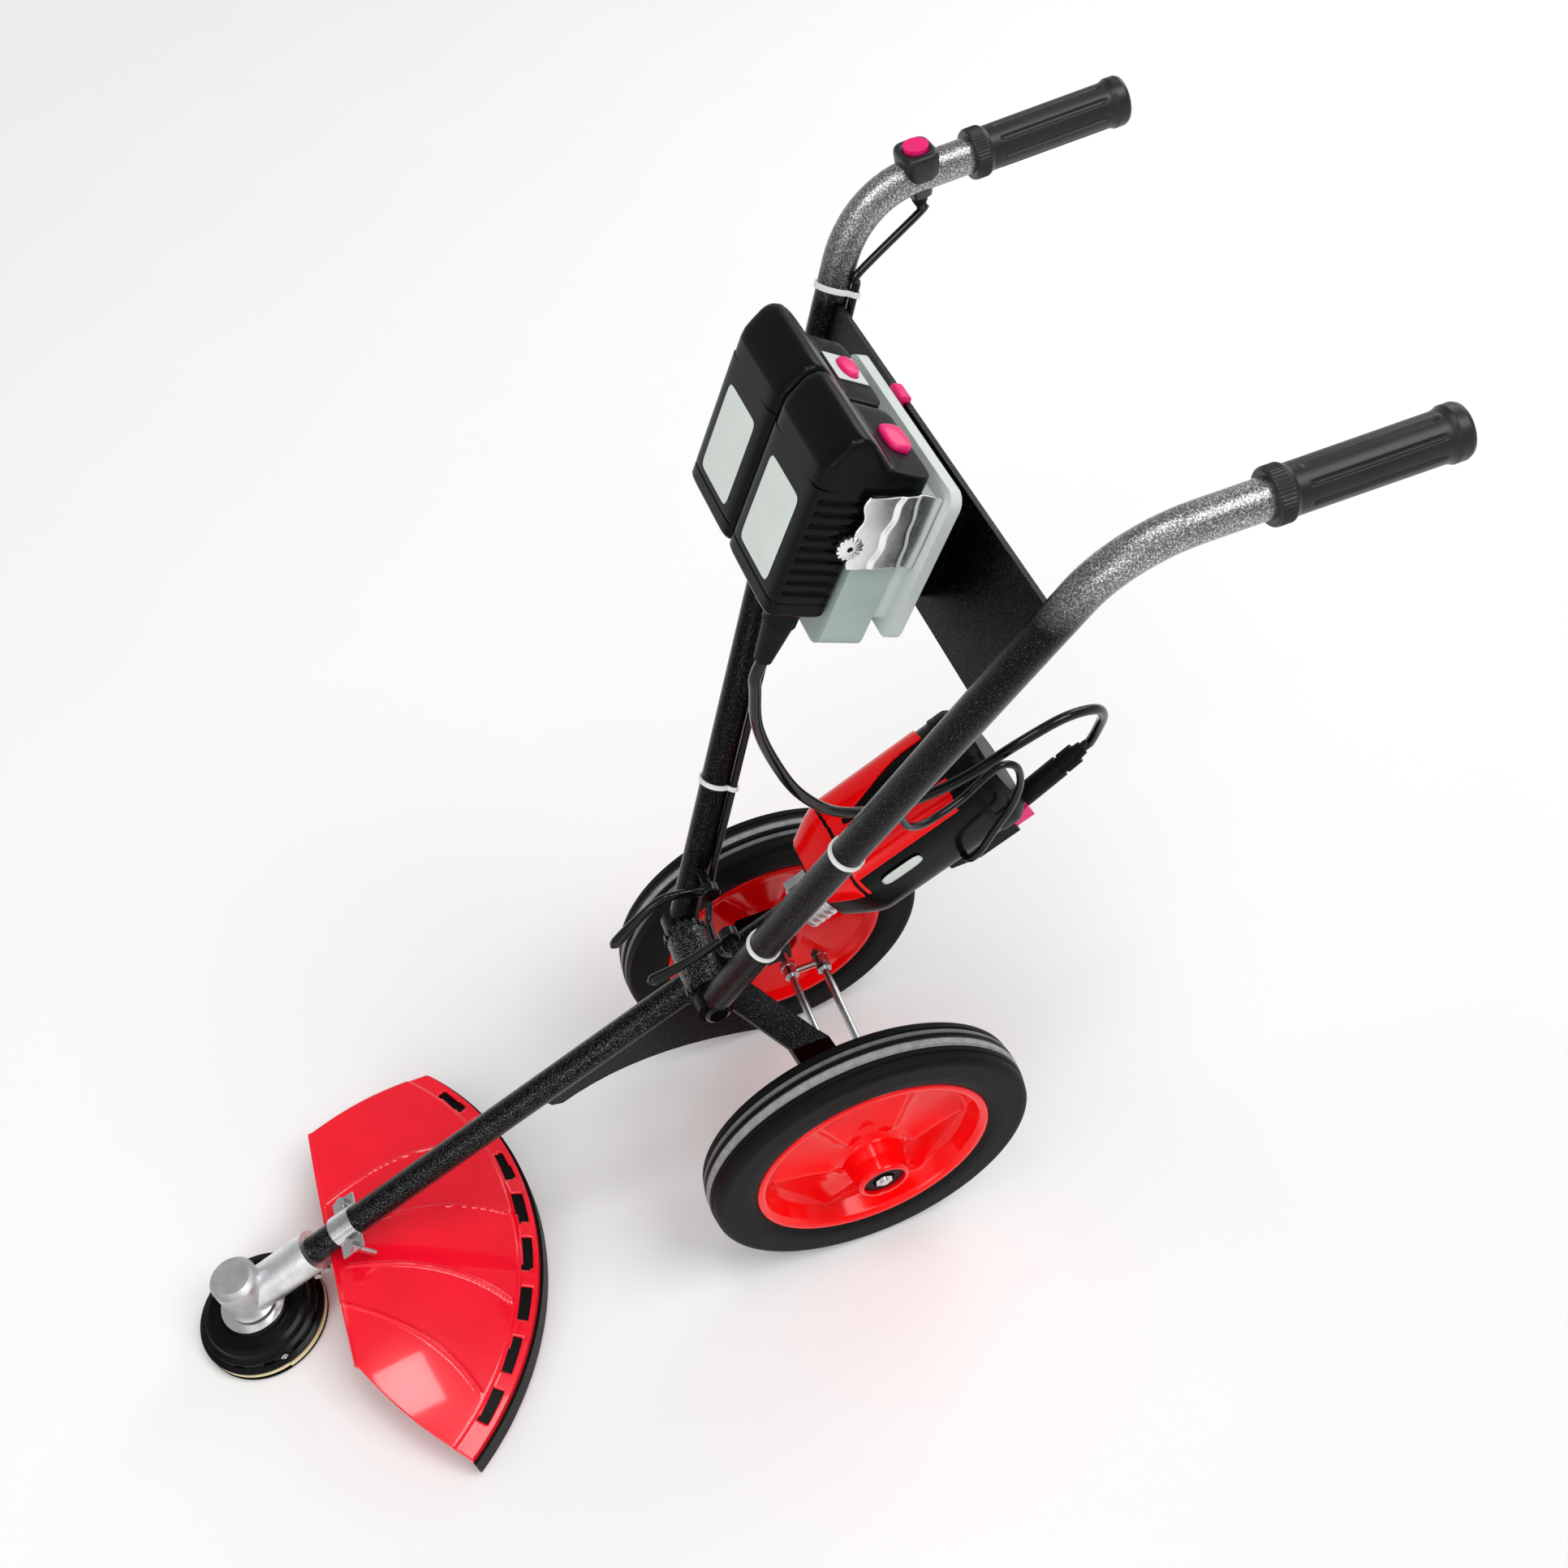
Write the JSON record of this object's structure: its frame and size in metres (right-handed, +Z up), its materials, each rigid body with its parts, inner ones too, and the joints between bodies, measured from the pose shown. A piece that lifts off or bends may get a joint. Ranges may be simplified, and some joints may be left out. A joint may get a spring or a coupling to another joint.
{
  "type": "wheeled string trimmer",
  "caption": "Battery string trimmer on two wheels with a sloping drive tube, guarded cutting head, and a folding handlebar that carries the battery packs.",
  "frame": {"origin": "on the ground, below the middle of the whole part", "axes": "+X to the operator's left, +Y from the cutting head back to the operator, +Z up"},
  "size_m": [0.4366, 1.0018, 0.8866],
  "materials": {
    "hammered_black": "hammered paint",
    "bare_steel": "bright",
    "bright_plate": "plated",
    "cast_alloy": "as cast",
    "red_gloss": "gloss",
    "black_gloss": "gloss",
    "black_matt": "matt",
    "black_rubber": "matt",
    "tyre_black": "matt",
    "pink_gloss": "gloss",
    "copper": "wound wire",
    "cream_line": "matt",
    "white_nylon": "matt",
    "pale_grey": "matt",
    "grey_green": "matt",
    "black_lever": "gloss"
  },
  "bodies": {
    "chassis": {"drive_tube": "hammered_black", "sleeve_bushes": "black_matt", "gusset_plate": "hammered_black", "axle_legs": "hammered_black", "cross_tube": "hammered_black", "axle": "bare_steel", "tie_rod": "bare_steel", "axle_hardware": "bare_steel", "gear_case": "cast_alloy", "clamp_bolts": "bare_steel", "shaft_bearings": "bare_steel", "guard": "red_gloss", "guard_skirt": "black_rubber", "guard_clamp": "bare_steel", "motor_coupling": "cast_alloy", "motor_housing": "black_gloss", "motor_cover": "red_gloss", "motor_rear_cap": "black_matt", "motor_stator": "copper", "battery_adapter": "black_matt", "power_plug": "black_rubber", "power_cable": "black_rubber", "switch_cable_loop": "black_rubber"},
    "drive": {"drive_shaft": "bare_steel", "motor_rotor": "bare_steel", "bevel_pinion": "bare_steel"},
    "head": {"bevel_gear": "bare_steel", "output_spindle": "bare_steel", "holding_flange": "bright_plate", "head_housing": "black_gloss", "head_cover": "black_gloss", "trimmer_line": "cream_line", "bump_spring": "bare_steel"},
    "bump": {"bump_spool": "black_gloss"},
    "left_wheel": {"tyre_left": "tyre_black", "rim_left": "red_gloss"},
    "right_wheel": {"tyre_right": "tyre_black", "rim_right": "red_gloss"},
    "handle": {"handle_tube_left": "hammered_black", "handle_tube_right": "hammered_black", "handle_plate": "hammered_black", "grip_left": "black_rubber", "grip_right": "black_rubber", "pivot_bolt": "black_lever", "switch_housing": "black_matt", "switch_cable": "black_rubber", "cable_ties": "white_nylon", "cradle_base": "pale_grey", "cradle_box": "grey_green", "cradle_side_bracket": "bright_plate", "battery_pack_left": "black_matt", "cable_gland": "black_rubber"},
    "left_lever": {"lock_lever_left": "black_lever"},
    "right_lever": {"lock_lever_right": "black_lever"},
    "switch": {"switch_button": "pink_gloss"},
    "battery_right": {"battery_pack_right": "black_matt"},
    "left_release": {"release_button_left": "pink_gloss"},
    "right_release": {"release_button_right": "pink_gloss"},
    "adapter_release": {"adapter_button": "pink_gloss"}
  },
  "joints": [
    {"name": "left_wheel_spin", "type": "hinge", "parent": "chassis", "child": "left_wheel", "pos_m": [0, 0.13104, 0.15], "axis": [1, 0, 0], "continuous": true},
    {"name": "right_wheel_spin", "type": "hinge", "parent": "chassis", "child": "right_wheel", "pos_m": [0, 0.13104, 0.15], "axis": [1, 0, 0], "continuous": true},
    {"name": "drive_spin", "type": "hinge", "parent": "chassis", "child": "drive", "pos_m": [0, -0.44196, 0.056], "axis": [0, 0.891, 0.454], "continuous": true},
    {"name": "head_spin", "type": "hinge", "parent": "chassis", "child": "head", "pos_m": [0, -0.44196, 0.056], "axis": [0, 0, 1], "continuous": true},
    {"name": "bump_slide", "type": "slide", "parent": "head", "child": "bump", "axis": [0, 0, 1], "range_m": [0, 0.006], "stiffness_N_per_m": 3000, "springref_m": -0.02, "deforming": ["bump_spring"]},
    {"name": "handle_fold", "type": "hinge", "parent": "chassis", "child": "handle", "pos_m": [0, 0.03767, 0.32395], "axis": [1, 0, 0], "range_deg": [0, 80]},
    {"name": "left_lever_turn", "type": "hinge", "parent": "handle", "child": "left_lever", "pos_m": [0, 0.06489, 0.38077], "axis": [-1, 0, 0], "range_deg": [0, 60], "stiffness_Nm_per_rad": 0.5, "springref_deg": -17.19},
    {"name": "right_lever_turn", "type": "hinge", "parent": "handle", "child": "right_lever", "pos_m": [0, 0.06489, 0.38077], "axis": [-1, 0, 0], "range_deg": [0, 60], "stiffness_Nm_per_rad": 0.5, "springref_deg": -17.19},
    {"name": "switch_press", "type": "slide", "parent": "handle", "child": "switch", "axis": [-0.0015, 0.0488, -0.9988], "range_m": [0, 0.0025], "stiffness_N_per_m": 800, "springref_m": -0.002},
    {"name": "right_battery_slide", "type": "slide", "parent": "handle", "child": "battery_right", "axis": [0, 0.4321, 0.9018], "range_m": [0, 0.06]},
    {"name": "left_release_press", "type": "slide", "parent": "handle", "child": "left_release", "axis": [0, -0.4321, -0.9018], "range_m": [0, 0.003], "stiffness_N_per_m": 800, "springref_m": -0.002},
    {"name": "right_release_press", "type": "slide", "parent": "battery_right", "child": "right_release", "axis": [0, -0.4321, -0.9018], "range_m": [0, 0.003], "stiffness_N_per_m": 800, "springref_m": -0.002},
    {"name": "adapter_release_press", "type": "slide", "parent": "chassis", "child": "adapter_release", "axis": [0, -0.891, -0.454], "range_m": [0, 0.003], "stiffness_N_per_m": 800, "springref_m": -0.002}
  ],
  "couplings": [
    {"joint": "head_spin", "follows": "drive_spin", "ratio": -0.73684}
  ]
}
